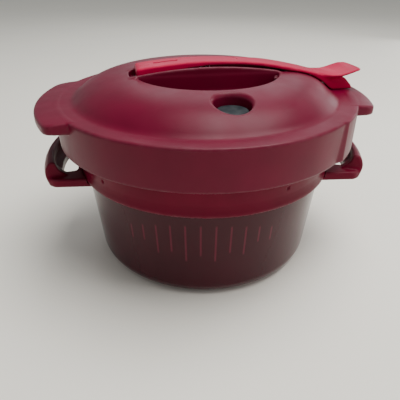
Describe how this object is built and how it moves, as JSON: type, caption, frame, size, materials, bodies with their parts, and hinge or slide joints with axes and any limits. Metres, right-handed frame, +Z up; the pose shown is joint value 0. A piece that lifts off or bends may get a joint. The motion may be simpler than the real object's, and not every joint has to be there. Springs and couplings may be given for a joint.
{
  "type": "microwave pressure cooker",
  "caption": "Round plastic microwave pressure cooker: pot with loop handles, domed bayonet lid, hinged release lever and pressure indicator.",
  "frame": {"origin": "centre of the pot's flat underside", "axes": "+Z up; X runs through the pot's two handles; the front, with the indicator well, faces -Y"},
  "size_m": [0.2688, 0.24, 0.164],
  "materials": {
    "cover_plastic": "satin burgundy, fine moulded texture",
    "collar_plastic": "satin deep burgundy",
    "pot_plastic": "glossy dark burgundy with faint upright stripes",
    "lever_plastic": "satin bright red",
    "inner_plastic": "satin grey",
    "silicone": "matt silicone",
    "indicator_plastic": "satin grey-green",
    "steel": "brushed"
  },
  "bodies": {
    "pot": {"pot_shell": "pot_plastic", "pot_collar": "collar_plastic", "right_pot_handle": "collar_plastic", "left_pot_handle": "collar_plastic", "right_pot_handle_screw_1": "steel", "right_pot_handle_screw_2": "steel", "left_pot_handle_screw_1": "steel", "left_pot_handle_screw_2": "steel"},
    "inner_lid": {"inner_cover": "inner_plastic", "silicone_gasket": "silicone", "relief_seat": "silicone", "indicator_bush": "silicone", "safety_plug": "silicone", "vent_filter": "inner_plastic"},
    "outer_lid": {"outer_cover": "cover_plastic", "retaining_ring": "collar_plastic", "relief_spring": "steel", "lever_pin": "steel"},
    "lever": {"release_lever": "lever_plastic"},
    "stem": {"relief_stem": "steel", "stem_button": "indicator_plastic"},
    "plunger": {"indicator_plunger": "indicator_plastic", "indicator_seal": "silicone"},
    "indicator": {"pressure_indicator": "indicator_plastic"}
  },
  "joints": [
    {"name": "lid_lift", "type": "slide", "parent": "pot", "child": "inner_lid", "axis": [0, 0, 1], "range_m": [0, 0.15]},
    {"name": "lid_turn", "type": "hinge", "parent": "inner_lid", "child": "outer_lid", "pos_m": [0, 0, 0.137], "axis": [0, 0, 1], "range_deg": [-7.5, 18]},
    {"name": "lever_hinge", "type": "hinge", "parent": "outer_lid", "child": "lever", "pos_m": [-0.05086, -0.0067, 0.1536], "axis": [0.1305, -0.9914, 0], "range_deg": [0, 35]},
    {"name": "stem_lift", "type": "slide", "parent": "outer_lid", "child": "stem", "axis": [0, 0, 1], "range_m": [0, 0.0041], "deforming": ["relief_spring"]},
    {"name": "plunger_rise", "type": "slide", "parent": "inner_lid", "child": "plunger", "axis": [0, 0, 1], "range_m": [0, 0.003]},
    {"name": "indicator_rise", "type": "slide", "parent": "outer_lid", "child": "indicator", "axis": [0, 0, 1], "range_m": [0, 0.003]}
  ],
  "couplings": [
    {"joint": "stem_lift", "follows": "lever_hinge", "m_per_rad": 0.0065481},
    {"joint": "indicator_rise", "follows": "plunger_rise", "ratio": 1}
  ]
}
